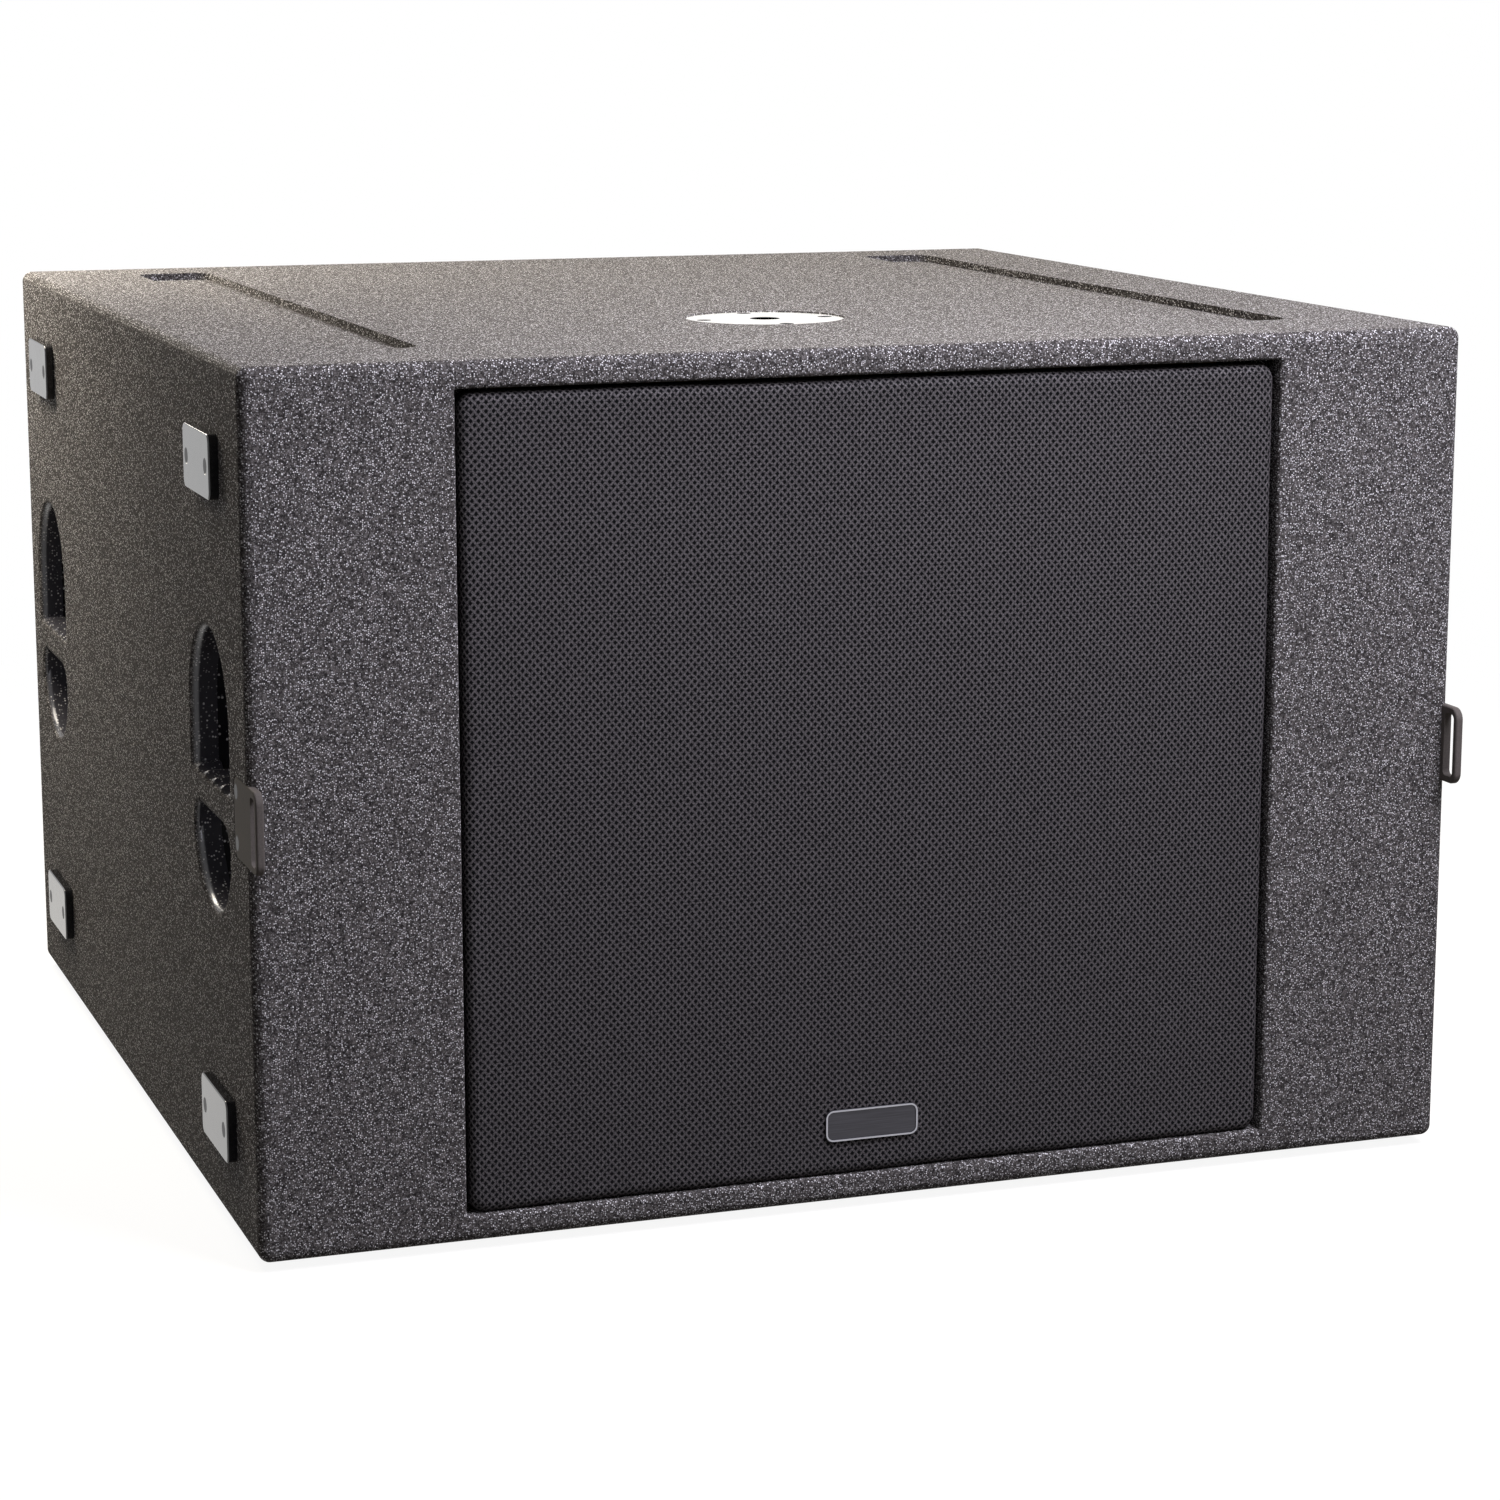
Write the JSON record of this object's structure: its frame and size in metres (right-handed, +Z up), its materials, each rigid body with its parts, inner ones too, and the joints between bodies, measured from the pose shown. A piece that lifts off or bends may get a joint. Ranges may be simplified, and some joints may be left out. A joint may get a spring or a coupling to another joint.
{
  "type": "subwoofer cabinet",
  "caption": "Plywood subwoofer cabinet with woofers behind a recessed cloth grille, grip-bar hand holes, side skids, keeper loops, stacking pockets and a pole flange on top.",
  "frame": {"origin": "on the floor under the middle of the cabinet's width and of its depth over the keeper loops", "axes": "+X to the right seen from the front, +Y to the rear, +Z up"},
  "size_m": [0.7135, 0.722, 0.4855],
  "materials": {
    "textured_paint_on_birch_plywood": "textured satin",
    "bare_birch_plywood": "bare birch plywood",
    "painted_moulded_cup": "painted moulded cup",
    "black_nylon": "gloss",
    "black_steel": "black steel",
    "zinc_plated_steel": "satin",
    "grey_painted_steel": "satin",
    "black_coated_steel_sheet": "black coated steel sheet",
    "black_mesh_cloth": "black mesh cloth",
    "black_plastic": "black plastic",
    "dark_grey_plastic": "dark grey plastic",
    "black_painted_cast_aluminium": "black painted cast aluminium",
    "cork_gasket": "cork gasket",
    "ferrite": "ferrite",
    "resin_treated_cloth": "resin-treated cloth",
    "treated_black_cloth": "treated black cloth",
    "copper_winding_on_its_former": "copper winding on its former",
    "treated_paper": "treated paper"
  },
  "bodies": {
    "cabinet": {"top_panel": "textured_paint_on_birch_plywood", "bottom_panel": "textured_paint_on_birch_plywood", "left_side_panel": "textured_paint_on_birch_plywood", "right_side_panel": "textured_paint_on_birch_plywood", "back_panel": "textured_paint_on_birch_plywood", "left_front_panel": "textured_paint_on_birch_plywood", "right_front_panel": "textured_paint_on_birch_plywood", "left_cheek": "textured_paint_on_birch_plywood", "right_cheek": "textured_paint_on_birch_plywood", "left_baffle": "bare_birch_plywood", "right_baffle": "bare_birch_plywood", "left_port_wall": "bare_birch_plywood", "right_port_wall": "bare_birch_plywood", "side_braces": "bare_birch_plywood", "left_front_handle_cup": "painted_moulded_cup", "left_rear_handle_cup": "painted_moulded_cup", "right_front_handle_cup": "painted_moulded_cup", "right_rear_handle_cup": "painted_moulded_cup", "side_skids": "black_nylon", "bottom_skids": "black_nylon", "skid_screws": "black_steel", "pole_flange": "zinc_plated_steel", "pole_flange_screws": "black_steel", "left_keeper_loop": "grey_painted_steel", "right_keeper_loop": "grey_painted_steel", "keeper_loop_screws": "black_steel", "grille_battens": "bare_birch_plywood", "grille": "black_coated_steel_sheet", "grille_cloth": "black_mesh_cloth", "grille_pegs": "black_plastic", "badge_plate": "dark_grey_plastic", "connector_plate": "black_coated_steel_sheet", "speaker_sockets": "black_plastic", "speaker_socket_cores": "black_plastic", "connector_screws": "black_steel", "left_woofer_frame": "black_painted_cast_aluminium", "left_woofer_gasket": "cork_gasket", "left_woofer_screws": "black_steel", "left_front_plate": "zinc_plated_steel", "left_magnet": "ferrite", "left_back_plate": "zinc_plated_steel", "left_spider": "resin_treated_cloth", "left_surround": "treated_black_cloth", "left_terminals": "black_plastic", "right_woofer_frame": "black_painted_cast_aluminium", "right_woofer_gasket": "cork_gasket", "right_woofer_screws": "black_steel", "right_front_plate": "zinc_plated_steel", "right_magnet": "ferrite", "right_back_plate": "zinc_plated_steel", "right_spider": "resin_treated_cloth", "right_surround": "treated_black_cloth", "right_terminals": "black_plastic"},
    "left_cone_set": {"left_voice_coil": "copper_winding_on_its_former", "left_cone": "treated_paper", "left_dust_cap": "treated_paper"},
    "right_cone_set": {"right_voice_coil": "copper_winding_on_its_former", "right_cone": "treated_paper", "right_dust_cap": "treated_paper"}
  },
  "joints": [
    {"name": "left_cone_travel", "type": "slide", "parent": "cabinet", "child": "left_cone_set", "axis": [0.86, -0.5104, 0], "range_m": [-0.009, 0.009], "stiffness_N_per_m": 6000, "deforming": ["left_surround", "left_spider"]},
    {"name": "right_cone_travel", "type": "slide", "parent": "cabinet", "child": "right_cone_set", "axis": [-0.86, -0.5104, 0], "range_m": [-0.009, 0.009], "stiffness_N_per_m": 6000, "deforming": ["right_surround", "right_spider"]}
  ]
}
